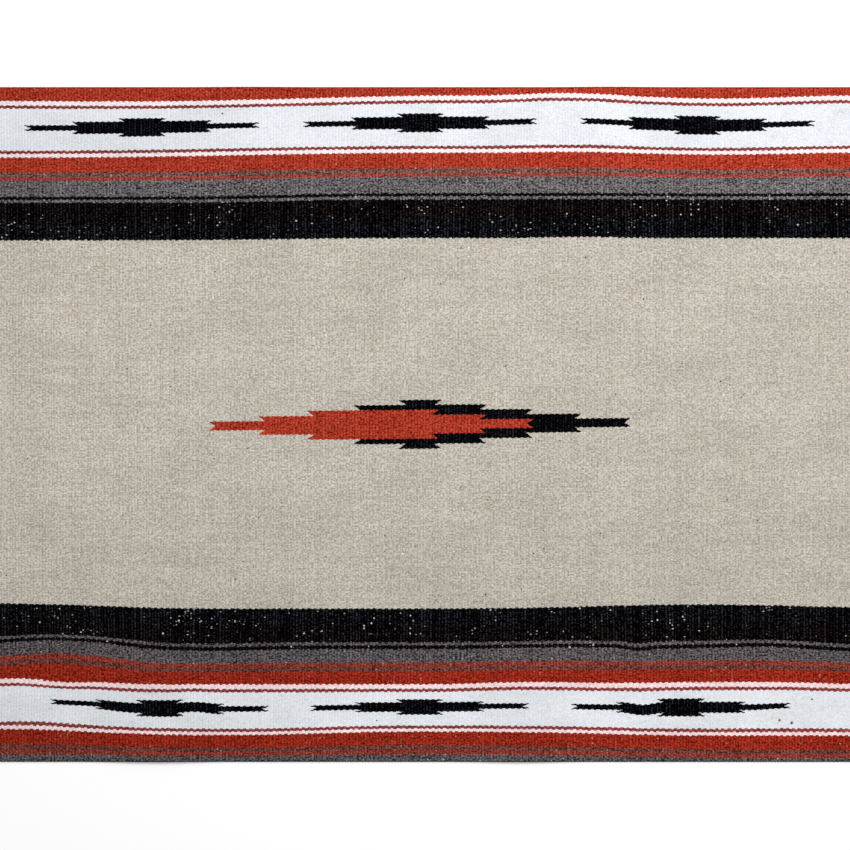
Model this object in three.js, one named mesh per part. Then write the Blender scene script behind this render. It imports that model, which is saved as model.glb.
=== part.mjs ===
// A Mexican serape laid out flat: one woven web with a knotted fringe along each of its two short ends.
// Millimetres, +Z up. +X runs along the stripes, +Y across them towards the far selvage.
// The origin is on the floor, under the middle of the web.
import * as THREE from "three";

// ---- Driving dimensions ----
const WEB_LENGTH = 2000; // end to end along the stripes, without the fringe
const WEB_WIDTH = 945; // selvage to selvage
const CLOTH = 2.6; // thickness of the woven wool
const SELVAGE = 0.8; // the outermost cords stand this much lower than the cloth, so the edge is rounded
const DRAW_IN = 6; // each selvage pulls in this far at the ends of the web
const DRAW_FROM = 620; // distance from the middle where the selvages begin to pull in
const SEAM_GAP = 0.3; // clearance between one piece and the next
const KNOT_ROW = 13; // length of the row of knots along X
const KNOT_HEIGHT = 7.5; // a knot stands this high above the floor
const KNOT_FOOT = 0.45; // the ridge of knots starts and ends at this share of its height
const TASSEL = 96; // reach of the loose tassels beyond the knots
const TASSEL_HEIGHT = 4.5; // thickness of the layer of tassels lying on the floor
const TASSEL_THINNING = 0.45; // the layer loses this share of its thickness towards the tips
const TIP_SLACK = 9; // the shortest tassels end this much before the longest
const TIP_WAVES = 4; // times the tips run from long to short and back across the web

// Places where the cloth lifts off the floor: the middle of the rise, how far it reaches each way, and its height.
const RISES = [
  { x: -830, y: -430, reachX: 130, reachY: 170, lift: 7.0 },
  { x: -370, y: -470, reachX: 110, reachY: 150, lift: 3.0 },
  { x: 140, y: -475, reachX: 100, reachY: 120, lift: 2.4 },
  { x: 760, y: -460, reachX: 150, reachY: 190, lift: 6.0 },
  { x: -690, y: 460, reachX: 120, reachY: 150, lift: 5.5 },
  { x: -240, y: 475, reachX: 100, reachY: 110, lift: 2.2 },
  { x: 265, y: 440, reachX: 90, reachY: 210, lift: 3.2 },
  { x: 850, y: 450, reachX: 110, reachY: 180, lift: 7.5 },
  { x: -760, y: 20, reachX: 90, reachY: 300, lift: 3.0 },
  { x: 700, y: 60, reachX: 90, reachY: 330, lift: 3.4 },
];

// How finely the cloth is divided: sections along X, points across each section.
const SECTIONS = 50;
const POINTS_ACROSS = 24;
const KNOT_SECTIONS = 6;
const KNOT_POINTS = 2;
const TASSEL_SECTIONS = 4;
const TASSEL_POINTS = 40;

const MATERIALS = {
  wool: { color: 0xc2b8a8, roughness: 0.95, metalness: 0 },
  yarn: { color: 0x8d8078, roughness: 0.95, metalness: 0 },
};

// A bump that is 1 in its middle, falls smoothly to 0 at its reach, and stays 0 beyond it.
function bump(distance, reach) {
  const share = Math.min(Math.abs(distance) / reach, 1);
  return 0.5 + 0.5 * Math.cos(Math.PI * share);
}

// Height of the cloth's underside above the floor.
function underside(x, y) {
  return RISES.reduce(
    (height, r) => height + r.lift * bump(x - r.x, r.reachX) * bump(y - r.y, r.reachY),
    0,
  );
}

// Half the width of the web at a place along its length.
function halfWidth(x) {
  const beyond = Math.max(Math.abs(x) - DRAW_FROM, 0) / (WEB_LENGTH / 2 - DRAW_FROM);
  return WEB_WIDTH / 2 - DRAW_IN * beyond * beyond;
}

// A closed wall between a lower and an upper surface over a grid of columns and rows.
// Each surface gives [x, y, z] at column share u and row share v, both from 0 to 1.
function wallGeometry(columns, rows, lower, upper) {
  const positions = [];
  const index = [];
  const perLayer = (columns + 1) * (rows + 1);
  for (const surface of [lower, upper]) {
    for (let i = 0; i <= columns; i++) {
      for (let j = 0; j <= rows; j++) positions.push(...surface(i / columns, j / rows));
    }
  }
  const low = (i, j) => i * (rows + 1) + j;
  const high = (i, j) => perLayer + low(i, j);
  const quad = (a, b, c, d) => index.push(a, b, c, a, c, d);
  for (let i = 0; i < columns; i++) {
    for (let j = 0; j < rows; j++) {
      quad(high(i, j), high(i + 1, j), high(i + 1, j + 1), high(i, j + 1));
      quad(low(i, j), low(i, j + 1), low(i + 1, j + 1), low(i + 1, j));
    }
    quad(low(i, 0), low(i + 1, 0), high(i + 1, 0), high(i, 0));
    quad(low(i + 1, rows), low(i, rows), high(i, rows), high(i + 1, rows));
  }
  for (let j = 0; j < rows; j++) {
    quad(low(0, j + 1), low(0, j), high(0, j), high(0, j + 1));
    quad(low(columns, j), low(columns, j + 1), high(columns, j + 1), high(columns, j));
  }
  const geometry = new THREE.BufferGeometry();
  geometry.setAttribute("position", new THREE.Float32BufferAttribute(positions, 3));
  geometry.setIndex(index);
  geometry.computeVertexNormals();
  return geometry;
}

function namedMesh(name, geometry, material) {
  const mesh = new THREE.Mesh(geometry, new THREE.MeshStandardMaterial(material));
  mesh.name = name;
  return mesh;
}

// The woven web: a wall of even thickness that rests on the floor and rises a little in places.
function wovenWeb() {
  const place = (u, v) => {
    const x = (u - 0.5) * WEB_LENGTH;
    return [x, (2 * v - 1) * halfWidth(x)];
  };
  const lower = (u, v) => {
    const [x, y] = place(u, v);
    return [x, y, underside(x, y)];
  };
  const upper = (u, v) => {
    const [x, y] = place(u, v);
    const atSelvage = v === 0 || v === 1;
    return [x, y, underside(x, y) + CLOTH - (atSelvage ? SELVAGE : 0)];
  };
  return namedMesh("woven_web", wallGeometry(SECTIONS, POINTS_ACROSS, lower, upper), MATERIALS.wool);
}

// The row of knots that locks the yarns at one end: a low ridge with a rounded back.
function knotRow(name) {
  const start = WEB_LENGTH / 2 + SEAM_GAP;
  const half = WEB_WIDTH / 2 - DRAW_IN;
  const ridge = (u) => KNOT_HEIGHT * (KNOT_FOOT + (1 - KNOT_FOOT) * Math.sin(Math.PI * u));
  const lower = (u, v) => [start + u * KNOT_ROW, (2 * v - 1) * half, 0];
  const upper = (u, v) => [start + u * KNOT_ROW, (2 * v - 1) * half, ridge(u)];
  return namedMesh(name, wallGeometry(KNOT_SECTIONS, KNOT_POINTS, lower, upper), MATERIALS.yarn);
}

// The reach of the tassels at one end: a thin layer whose tips end unevenly.
function tasselLayer(name) {
  const start = WEB_LENGTH / 2 + 2 * SEAM_GAP + KNOT_ROW;
  const half = WEB_WIDTH / 2 - DRAW_IN;
  const reach = (v) => {
    const uneven = 0.5 - 0.5 * Math.cos(2 * Math.PI * TIP_WAVES * v);
    return TASSEL - TIP_SLACK * uneven;
  };
  const height = (u) => TASSEL_HEIGHT * (1 - TASSEL_THINNING * u * u);
  const lower = (u, v) => [start + u * reach(v), (2 * v - 1) * half, 0];
  const upper = (u, v) => [start + u * reach(v), (2 * v - 1) * half, height(u)];
  return namedMesh(name, wallGeometry(TASSEL_SECTIONS, TASSEL_POINTS, lower, upper), MATERIALS.yarn);
}

// Knots and tassels of one end. The left end is the right end turned half round.
function fringe(side, turn) {
  const group = new THREE.Group();
  group.add(knotRow("knot_row_" + side), tasselLayer("fringe_" + side));
  group.rotation.z = turn;
  return group;
}

const serape = new THREE.Group();
serape.add(wovenWeb(), fringe("right", 0), fringe("left", Math.PI));

export default serape;
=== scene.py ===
"""A handwoven wool serape lying flat.

It has a ribbed web with striped borders, stepped lozenges, and a knotted fringe at each end. Lengths are
metres unless a name ends in _mm. The cloth is charted in ribs, counted along its length, and in warp yarns,
counted across it from the near selvage.
"""

import json
import logging
import math
from dataclasses import dataclass, field
from enum import Enum

import bpy
import numpy as np
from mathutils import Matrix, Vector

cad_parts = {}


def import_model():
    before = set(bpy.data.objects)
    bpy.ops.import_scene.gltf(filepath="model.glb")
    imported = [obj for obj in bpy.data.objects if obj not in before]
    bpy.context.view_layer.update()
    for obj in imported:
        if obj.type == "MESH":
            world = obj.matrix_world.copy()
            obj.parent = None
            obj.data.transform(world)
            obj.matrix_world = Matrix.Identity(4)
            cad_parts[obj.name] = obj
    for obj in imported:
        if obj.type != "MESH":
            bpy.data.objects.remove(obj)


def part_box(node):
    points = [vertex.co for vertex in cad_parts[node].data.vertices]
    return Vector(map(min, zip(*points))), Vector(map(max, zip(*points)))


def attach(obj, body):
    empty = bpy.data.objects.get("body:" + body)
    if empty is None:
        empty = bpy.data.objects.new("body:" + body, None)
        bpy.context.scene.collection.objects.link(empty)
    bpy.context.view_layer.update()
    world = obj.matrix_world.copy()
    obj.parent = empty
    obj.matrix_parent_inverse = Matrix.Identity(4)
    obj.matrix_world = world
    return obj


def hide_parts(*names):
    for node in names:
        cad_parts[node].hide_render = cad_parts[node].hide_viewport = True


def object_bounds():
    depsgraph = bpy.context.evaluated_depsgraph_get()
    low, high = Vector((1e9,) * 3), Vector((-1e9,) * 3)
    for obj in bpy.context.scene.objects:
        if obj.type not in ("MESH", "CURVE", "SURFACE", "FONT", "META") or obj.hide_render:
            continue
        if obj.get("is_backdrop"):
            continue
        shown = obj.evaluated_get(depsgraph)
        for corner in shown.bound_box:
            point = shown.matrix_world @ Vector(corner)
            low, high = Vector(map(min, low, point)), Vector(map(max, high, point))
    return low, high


LOG = logging.getLogger("serape")
SEED = 1880
WEAVE_MAP = "weave"
PLY_MAP = "ply"
BAKE_MAP = "OFBake"
SELVAGE_MARK = "selvage"

Socket = bpy.types.NodeSocket
Value = float | tuple[float, ...] | Socket
Inputs = dict[int | str, Value]
Array = np.ndarray


# ---------------------------------------------------------------- wools and stripes


@dataclass(frozen=True)
class WoolLot:
    """One dyed wool, carded from a deep and a bright fibre.

    Args:
        deep: sRGB colour of the darker fibre, 0 to 255.
        bright: sRGB colour of the lighter fibre, 0 to 255.
        skew: how much rarer the bright fibre is, as the power of the fibre's share.
        neps: how readily pale neps show in it, 0 to 1.
    """

    deep: tuple[float, float, float]
    bright: tuple[float, float, float]
    skew: float = 1.0
    neps: float = 0.2


class Wool(Enum):
    """The wools on the loom."""

    RED = WoolLot(deep=(116, 14, 6), bright=(208, 78, 55), skew=0.8, neps=0.25)
    BRICK = WoolLot(deep=(92, 8, 3), bright=(190, 60, 40), skew=0.85, neps=0.25)
    MAROON = WoolLot(deep=(98, 34, 34), bright=(176, 84, 80), neps=0.2)
    TERRACOTTA = WoolLot(deep=(102, 34, 28), bright=(196, 94, 82), neps=0.2)
    RUST = WoolLot(deep=(90, 24, 18), bright=(180, 80, 66), neps=0.2)
    RUSSET = WoolLot(deep=(52, 18, 16), bright=(148, 88, 80), neps=0.4)
    UMBER = WoolLot(deep=(46, 22, 22), bright=(158, 116, 108), neps=0.4)
    WHITE = WoolLot(deep=(214, 217, 223), bright=(232, 235, 240), neps=0.3)
    BLEACHED = WoolLot(deep=(226, 212, 216), bright=(252, 242, 244), neps=0.0)
    BLUSH = WoolLot(deep=(224, 196, 200), bright=(254, 234, 237), neps=0.0)
    GREY = WoolLot(deep=(34, 29, 32), bright=(142, 136, 139), neps=0.5)
    SLATE = WoolLot(deep=(20, 15, 18), bright=(126, 118, 120), neps=0.5)
    BROWN_BLACK = WoolLot(deep=(1, 0, 0), bright=(51, 40, 42), skew=3.6, neps=0.75)
    BLUE_BLACK = WoolLot(deep=(0, 0, 1), bright=(48, 49, 57), skew=3.6, neps=0.75)
    INK = WoolLot(deep=(0, 0, 1), bright=(38, 39, 48), skew=3.6, neps=0.0)
    NATURAL = WoolLot(deep=(163, 156, 145), bright=(211, 204, 193), neps=1.0)


Stripes = tuple[tuple[Wool, int], ...]

FAR_BORDER: Stripes = (
    (Wool.RED, 11),
    (Wool.BLEACHED, 6),
    (Wool.MAROON, 4),
    (Wool.WHITE, 57),
    (Wool.MAROON, 4),
    (Wool.BLEACHED, 5),
    (Wool.RED, 21),
    (Wool.UMBER, 6),
    (Wool.TERRACOTTA, 5),
    (Wool.GREY, 21),
    (Wool.BROWN_BLACK, 4),
    (Wool.GREY, 4),
    (Wool.BROWN_BLACK, 25),
    (Wool.BLUE_BLACK, 28),
)
NEAR_BORDER: Stripes = (
    (Wool.SLATE, 11),
    (Wool.RUST, 6),
    (Wool.RUSSET, 6),
    (Wool.BRICK, 18),
    (Wool.BLUSH, 4),
    (Wool.MAROON, 4),
    (Wool.WHITE, 45),
    (Wool.MAROON, 4),
    (Wool.BLUSH, 6),
    (Wool.BRICK, 17),
    (Wool.RUSSET, 6),
    (Wool.RUST, 5),
    (Wool.SLATE, 18),
    (Wool.BROWN_BLACK, 5),
    (Wool.SLATE, 4),
    (Wool.BROWN_BLACK, 23),
    (Wool.BLUE_BLACK, 23),
)


# ---------------------------------------------------------------- the cloth's form


@dataclass(frozen=True)
class Loom:
    """The count of the cloth, worked out from the size of the web.

    Args:
        length: the web's length along X.
        width: the web's width along Y.
        rib_pitch: the distance from one rib to the next.
        yarn_pitch: the distance from one warp yarn to the next.
    """

    length: float
    width: float
    rib_pitch: float = 0.00413
    yarn_pitch: float = 0.00105

    @property
    def ribs(self) -> int:
        """The number of ribs along the web."""
        return round(self.length / self.rib_pitch)

    @property
    def yarns(self) -> int:
        """The number of warp yarns across the web."""
        return round(self.width / self.yarn_pitch)

    @property
    def cell_mm(self) -> tuple[float, float]:
        """The length of one rib and the width of one yarn, in millimetres."""
        return 1000 * self.length / self.ribs, 1000 * self.width / self.yarns


@dataclass(frozen=True)
class Swell:
    """A soft rise, highest at its centre: the product of two raised cosines, one along X and one along Y.

    Args:
        x: centre along the web.
        y: centre across the web.
        reach_x: distance from the centre at which it ends along X.
        reach_y: distance from the centre at which it ends along Y.
        peak: its height at the centre.
    """

    x: float
    y: float
    reach_x: float
    reach_y: float
    peak: float

    def at(self, x: Array, y: Array) -> Array:
        """The rise at each point: the peak times (1 + cos(pi d / reach)) / 2 along X and again along Y.

        Args:
            x: the points' places along the web.
            y: the points' places across it.

        Returns:
            The rise, which is 0 past the reach.
        """
        along = np.minimum(np.abs(x - self.x) / self.reach_x, 1.0)
        across = np.minimum(np.abs(y - self.y) / self.reach_y, 1.0)
        return self.peak * 0.25 * (1 + np.cos(np.pi * along)) * (1 + np.cos(np.pi * across))


def swells(*rows_mm: tuple[float, float, float, float, float]) -> tuple[Swell, ...]:
    """Makes a swell of each row.

    Args:
        rows_mm: x, y, reach_x, reach_y and peak of each, in millimetres.

    Returns:
        The swells, in metres.
    """
    return tuple(Swell(*(size / 1000 for size in row)) for row in rows_mm)


# Where the cloth stands off the floor, as in the solid it lies on.
RIPPLES = swells(
    (-830, -430, 130, 170, 7.0),
    (-370, -470, 110, 150, 3.0),
    (140, -475, 100, 120, 2.4),
    (760, -460, 150, 190, 6.0),
    (-690, 460, 120, 150, 5.5),
    (-240, 475, 100, 110, 2.2),
    (265, 440, 90, 210, 3.2),
    (850, 450, 110, 180, 7.5),
    (-760, 20, 90, 300, 3.0),
    (700, 60, 90, 330, 3.4),
)
# Where the beater pushed the yarns out of line: the peak is how far they stray towards the far selvage.
STRAYS = swells(
    (-560, 440, 600, 330, -7.6),
    (-290, 300, 200, 90, -1.6),
    (195, 460, 120, 130, 3.2),
    (420, 450, 190, 170, -4.2),
    (230, 260, 110, 70, 1.6),
    (-640, -250, 360, 140, 7.6),
    (-500, -318, 150, 70, 9.0),
    (-530, -392, 110, 48, 7.5),
    (-452, -394, 60, 34, 3.6),
    (-316, -396, 38, 30, 3.2),
    (-588, -366, 70, 30, 2.5),
    (-500, -362, 60, 30, -3.0),
    (-300, -318, 160, 50, -2.6),
    (312, -398, 32, 28, -4.6),
    (306, -308, 36, 26, -4.4),
    (-640, -395, 200, 80, 5.0),
    (-270, -430, 260, 70, -4.8),
    (520, -445, 470, 70, -7.6),
    (400, -280, 400, 130, 4.4),
    (150, -365, 140, 70, 2.6),
    (480, -365, 330, 50, 2.0),
    (900, -300, 260, 120, -5.0),
    (880, 300, 240, 150, 5.0),
    (-900, 330, 200, 160, 4.0),
    (390, -253, 230, 32, 3.2),
    (350, -306, 150, 34, -3.4),
    (640, -306, 170, 40, -6.5),
    (640, -360, 170, 60, -1.8),
    (-560, -326, 230, 26, 3.2),
    (520, -425, 200, 40, 2.2),
    (520, -397, 60, 24, 3.0),
    (-270, 457, 330, 48, -3.0),
)


def total(parts: tuple[Swell, ...], x: Array, y: Array) -> Array:
    """The sum of several swells at each point."""
    return sum(part.at(x, y) for part in parts)


# ---------------------------------------------------------------- meshes


def in_scene(name: str, data: bpy.types.ID) -> bpy.types.Object:
    """Adds an object to the scene.

    Args:
        name: the object's name.
        data: its mesh, camera or light.

    Returns:
        The new object, at the origin.
    """
    made = bpy.data.objects.new(name, data)
    bpy.context.scene.collection.objects.link(made)
    return made


def smooth(share: Array) -> Array:
    """A share from 0 to 1 eased at both ends: 3 s^2 - 2 s^3."""
    return 3 * share**2 - 2 * share**3


@dataclass
class Shell:
    """The points, faces and maps of one mesh, gathered block by block.

    Args:
        points: vertex positions, one row each.
        weave: each vertex's place on the loom, in ribs and yarns.
        marks: each vertex's selvage mark, 0 to 1.
        ply: each vertex's place on its yarn: metres along it and turns round it.
        corners: the vertex numbers of the faces added so far.
        sizes: how many corners each of those faces has.
        bake: each corner's place on the bake map.
    """

    points: Array
    weave: Array
    marks: Array | None = None
    ply: Array | None = None
    corners: list[Array] = field(default_factory=list)
    sizes: list[Array] = field(default_factory=list)
    bake: list[Array] = field(default_factory=list)

    def add(self, faces: Array, places: Array) -> None:
        """Adds faces of one size.

        Args:
            faces: vertex numbers, one row for each face.
            places: the bake map's place of each corner, in the same order.
        """
        self.corners.append(faces.ravel())
        self.sizes.append(np.full(len(faces), faces.shape[1]))
        self.bake.append(places.reshape(-1, 2))

    def build(self, name: str) -> bpy.types.Object:
        """Makes the object, smooth shaded, with its UV maps.

        Args:
            name: the piece's name.

        Returns:
            The new object, at the origin.
        """
        mesh = bpy.data.meshes.new(name)
        corners = np.concatenate(self.corners).astype(np.int32)
        sizes = np.concatenate(self.sizes).astype(np.int32)
        mesh.vertices.add(len(self.points))
        mesh.vertices.foreach_set("co", self.points.astype(np.float32).ravel())
        mesh.loops.add(len(corners))
        mesh.loops.foreach_set("vertex_index", corners)
        mesh.polygons.add(len(sizes))
        starts = np.concatenate([[0], np.cumsum(sizes)[:-1]]).astype(np.int32)
        mesh.polygons.foreach_set("loop_start", starts)
        mesh.update(calc_edges=True)
        mesh.shade_smooth()
        self._write_map(mesh, WEAVE_MAP, self.weave[corners])
        if self.ply is not None:
            self._write_map(mesh, PLY_MAP, self.ply[corners])
        self._write_map(mesh, BAKE_MAP, np.concatenate(self.bake))
        if self.marks is not None:
            mark = mesh.attributes.new(SELVAGE_MARK, "FLOAT", "POINT")
            mark.data.foreach_set("value", self.marks.astype(np.float32))
        mesh.validate()
        return in_scene(name, mesh)

    @staticmethod
    def _write_map(mesh: bpy.types.Mesh, name: str, places: Array) -> None:
        """Adds a UV map that holds one place for each corner."""
        layer = mesh.uv_layers.new(name=name, do_init=False)
        layer.uv.foreach_set("vector", places.astype(np.float32).ravel())


def grid_faces(numbers: Array) -> Array:
    """The quads of a grid, each counter-clockwise when the first axis runs right and the second runs up.

    Args:
        numbers: the vertex number at each place of the grid.

    Returns:
        Four vertex numbers for each quad.
    """
    quads = (numbers[:-1, :-1], numbers[1:, :-1], numbers[1:, 1:], numbers[:-1, 1:])
    return np.stack(quads, axis=-1).reshape(-1, 4)


def grid_places(shape: tuple[int, int], low: tuple[float, float], high: tuple[float, float]) -> Array:
    """The bake map's places for a grid laid over one rectangle of the image, in the order of grid_faces.

    Args:
        shape: the grid's number of points along each axis.
        low: the rectangle's lower left corner.
        high: the rectangle's upper right corner.

    Returns:
        The place of each quad's four corners.
    """
    along, up = (np.linspace(low[axis], high[axis], shape[axis]) for axis in (0, 1))
    places = np.stack(np.meshgrid(along, up, indexing="ij"), axis=-1)
    quads = (places[:-1, :-1], places[1:, :-1], places[1:, 1:], places[:-1, 1:])
    return np.stack(quads, axis=-2).reshape(-1, 4, 2)


# ---------------------------------------------------------------- shader nodes


def linear(colour: tuple[float, float, float]) -> tuple[float, float, float, float]:
    """An sRGB colour of 0 to 255 as a linear one with full alpha.

    Args:
        colour: the sRGB colour.

    Returns:
        Each channel s as s / 12.92 up to 0.04045, and as ((s + 0.055) / 1.055) to the power 2.4 above it.
    """
    shares = [channel / 255 for channel in colour]
    bent = [s / 12.92 if s <= 0.04045 else ((s + 0.055) / 1.055) ** 2.4 for s in shares]
    return (*bent, 1.0)


class Bench:
    """Adds nodes to one tree and links them."""

    def __init__(self, tree: bpy.types.NodeTree) -> None:
        """Starts a bench on a tree."""
        self.tree = tree

    def feed(self, socket: Socket, value: Value) -> None:
        """Gives an input its value.

        Args:
            socket: the input.
            value: the output to link it to, or a plain value to set.
        """
        if isinstance(value, bpy.types.NodeSocket):
            self.tree.links.new(value, socket)
        else:
            socket.default_value = value

    def node(self, kind: str, inputs: Inputs | None = None, **settings: object) -> bpy.types.Node:
        """Adds a node.

        Args:
            kind: the node's type without its ShaderNode prefix.
            inputs: the values of its inputs, by number or name.
            settings: the node's properties.

        Returns:
            The new node.
        """
        made = self.tree.nodes.new("ShaderNode" + kind)
        for name, value in settings.items():
            setattr(made, name, value)
        for key, value in (inputs or {}).items():
            self.feed(made.inputs[key], value)
        return made

    def math(self, operation: str, *values: Value) -> Socket:
        """One Math node's result."""
        return self.node("Math", dict(enumerate(values)), operation=operation).outputs[0]

    def add(self, first: Value, second: Value) -> Socket:
        """The sum of two values."""
        return self.math("ADD", first, second)

    def less(self, first: Value, second: Value) -> Socket:
        """The first value less the second."""
        return self.math("SUBTRACT", first, second)

    def times(self, first: Value, second: Value) -> Socket:
        """The product of two values."""
        return self.math("MULTIPLY", first, second)

    def parts(self, vector: Socket) -> tuple[Socket, Socket]:
        """The X and Y of a vector."""
        split = self.node("SeparateXYZ", {0: vector})
        return split.outputs[0], split.outputs[1]

    def pair(self, x: Value, y: Value) -> Socket:
        """A vector of two values."""
        return self.node("CombineXYZ", {0: x, 1: y}).outputs[0]

    def blend(self, share: Value, first: Value, second: Value) -> Socket:
        """The first colour turned into the second one by a share."""
        return self.node("Mix", {0: share, 6: first, 7: second}, data_type="RGBA").outputs[2]

    def pick(self, share: Value, first: Value, second: Value) -> Socket:
        """The first value turned into the second one by a share."""
        return self.node("Mix", {0: share, 2: first, 3: second}, data_type="FLOAT").outputs[0]

    def scaled(self, colour: Value, factor: Value) -> Socket:
        """A colour times a factor."""
        return self.node("VectorMath", {0: colour, "Scale": factor}, operation="SCALE").outputs[0]

    def tinted(self, colour: Value, tint: Value) -> Socket:
        """A colour times another one."""
        return self.node("VectorMath", {0: colour, 1: tint}, operation="MULTIPLY").outputs[0]

    def brightness(self, colour: Value) -> Socket:
        """How bright a colour is, as a value."""
        return self.node("RGBToBW", {0: colour}).outputs[0]

    def noise(self, place: Socket, detail: float, roughness: float = 0.5) -> Socket:
        """Soft noise of one cell for each unit of the place, about 0.5."""
        inputs = {"Vector": place, "Scale": 1.0, "Detail": detail, "Roughness": roughness}
        return self.node("TexNoise", inputs, noise_dimensions="2D").outputs[0]

    def chance(self, place: Socket) -> Socket:
        """A random value from 0 to 1 for each whole place."""
        return self.node("TexWhiteNoise", {"Vector": place}, noise_dimensions="2D").outputs["Value"]

    def ramp(self, value: Value, low: Value, high: Value, start: Value = 0.0, end: Value = 1.0) -> Socket:
        """Start below low, end above high, and a smooth step between them."""
        inputs = dict(enumerate((value, low, high, start, end)))
        return self.node("MapRange", inputs, interpolation_type="SMOOTHSTEP").outputs[0]

    def group(self, tree: bpy.types.NodeTree, **inputs: Value) -> bpy.types.Node:
        """Places a node group, with its inputs named with _ for a space."""
        named = {name.replace("_", " "): value for name, value in inputs.items()}
        return self.node("Group", named, node_tree=tree)

    def surface(self, inputs: Inputs) -> None:
        """Adds the material's shader, with its inputs by name, and its output."""
        shader = self.node("BsdfPrincipled", inputs)
        self.node("OutputMaterial", {"Surface": shader.outputs[0]})


class Kind(Enum):
    """The kinds of socket that a group has."""

    VALUE = "NodeSocketFloat"
    PLACE = "NodeSocketVector"
    COLOUR = "NodeSocketColor"


def values(*names: str) -> dict[str, Kind]:
    """Sockets that each hold a value."""
    return dict.fromkeys(names, Kind.VALUE)


class Group:
    """A shader node group under construction."""

    def __init__(self, name: str, inputs: dict[str, Kind], outputs: dict[str, Kind]) -> None:
        """Makes the group with its sockets.

        Args:
            name: the group's name.
            inputs: the kind of each input, by name.
            outputs: the kind of each output, by name.
        """
        self.tree = bpy.data.node_groups.new(name, "ShaderNodeTree")
        for direction, sockets in (("INPUT", inputs), ("OUTPUT", outputs)):
            for label, kind in sockets.items():
                self.tree.interface.new_socket(name=label, in_out=direction, socket_type=kind.value)
        self.bench = Bench(self.tree)
        self.given = self.tree.nodes.new("NodeGroupInput").outputs
        self.result = self.tree.nodes.new("NodeGroupOutput").inputs

    def give(self, **outputs: Value) -> bpy.types.NodeTree:
        """Feeds the group's outputs.

        Args:
            outputs: each output's value, by name, with _ for a space.

        Returns:
            The finished group.
        """
        for name, value in outputs.items():
            self.bench.feed(self.result[name.replace("_", " ")], value)
        return self.tree


# ---------------------------------------------------------------- shared effects


def bead_group() -> bpy.types.NodeTree:
    """The beads of a ribbed plain weave: in each rib every other yarn lies on top and covers two yarns.

    The rib is the whole part of the place along X. Its parity moves the beads by one yarn, so that they lie
    as bricks do: yarn = 2 floor((y - parity + 1) / 2) + parity. A soft noise makes their edges wander.

    Returns:
        A group that turns a place in ribs and yarns into the bead's numbers and its two arches, 0 to 1.
    """
    group = Group(
        "yarn_beads",
        {"Weave": Kind.PLACE, "Wander": Kind.VALUE},
        values("Rib", "Yarn", "Parity", "Arch", "Crown"),
    )
    bench = group.bench
    cells_per_rib, cells_per_yarn = 0.41, 0.16
    along, across = bench.parts(group.given["Weave"])
    rib = bench.math("FLOOR", along)
    share = bench.less(along, rib)
    parity = bench.math("FLOORED_MODULO", rib, 2.0)
    drift_place = bench.pair(bench.times(rib, cells_per_rib), bench.times(across, cells_per_yarn))
    drift = bench.less(bench.noise(drift_place, detail=2.0, roughness=0.7), 0.5)
    moved = bench.add(across, bench.times(drift, group.given["Wander"]))
    halves = bench.times(bench.add(bench.less(moved, parity), 1.0), 0.5)
    count = bench.math("FLOOR", halves)
    yarn = bench.add(bench.times(count, 2.0), parity)
    arch = bench.math("SINE", bench.times(share, math.pi))
    crown = bench.math("SINE", bench.times(bench.less(halves, count), math.pi))
    return group.give(Rib=rib, Yarn=yarn, Parity=parity, Arch=arch, Crown=crown)


def stripe_group(loom: Loom) -> bpy.types.NodeTree:
    """The wool of each warp yarn.

    Each border is a constant ramp with one cell for each yarn, counted from its own selvage; past the border
    the ramp holds the field's wool. A stripe starts half a cell before its first yarn, and a yarn is read a
    quarter of a cell past its number, clear of the start.

    Args:
        loom: the count of the cloth.

    Returns:
        A group that turns a yarn's number into its wool's deep and bright colours, skew and neps.
    """
    ramp_cells = 255
    start_before, read_past = 0.5, 0.25
    skew_scale = 4.0
    group = Group(
        "stripe_wools",
        {"Yarn": Kind.VALUE},
        {"Deep": Kind.COLOUR, "Bright": Kind.COLOUR} | values("Skew", "Neps"),
    )
    bench = group.bench

    def border(stripes: Stripes, number: Value, bright: bool) -> tuple[Socket, Socket]:
        """Reads one border's ramp.

        Args:
            stripes: the border's wools and how many yarns each has.
            number: the yarn's number from the border's selvage.
            bright: whether to read the bright colours and the skew, or the deep ones and the neps.

        Returns:
            The colour, and the skew or neps, which is the ramp's alpha.
        """
        node = bench.node("ValToRGB", {0: bench.times(bench.add(number, read_past), 1 / ramp_cells)})
        node.color_ramp.interpolation = "CONSTANT"
        stops = node.color_ramp.elements
        stops.remove(stops[1])
        reached = 0
        for wool, yarns in (*stripes, (Wool.NATURAL, loom.yarns)):
            lot = wool.value
            stop = stops[0] if reached == 0 else stops.new((reached - start_before) / ramp_cells)
            colour = linear(lot.bright if bright else lot.deep)
            stop.color = (*colour[:3], lot.skew / skew_scale if bright else lot.neps)
            reached += yarns
        return node.outputs[0], node.outputs[1]

    yarn = group.given["Yarn"]
    from_far = bench.less(loom.yarns - 1.0, yarn)
    is_far = bench.math("GREATER_THAN", yarn, loom.yarns / 2)

    def reading(bright: bool) -> tuple[Socket, Socket]:
        """The near border's reading up to the middle of the cloth, and the far one's past it."""
        near, far = border(NEAR_BORDER, yarn, bright), border(FAR_BORDER, from_far, bright)
        return bench.blend(is_far, near[0], far[0]), bench.pick(is_far, near[1], far[1])

    deep, neps = reading(bright=False)
    bright, skew = reading(bright=True)
    return group.give(Deep=deep, Bright=bright, Skew=bench.times(skew, skew_scale), Neps=neps)


@dataclass(frozen=True)
class Step:
    """One step of a lozenge's outline, the same above and below its middle line.

    Args:
        rise_mm: how far from the middle line it reaches.
        root_mm: its half length.
        tip_mm: the half length out to the tips of its prongs.
    """

    rise_mm: float
    root_mm: float
    tip_mm: float


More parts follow.
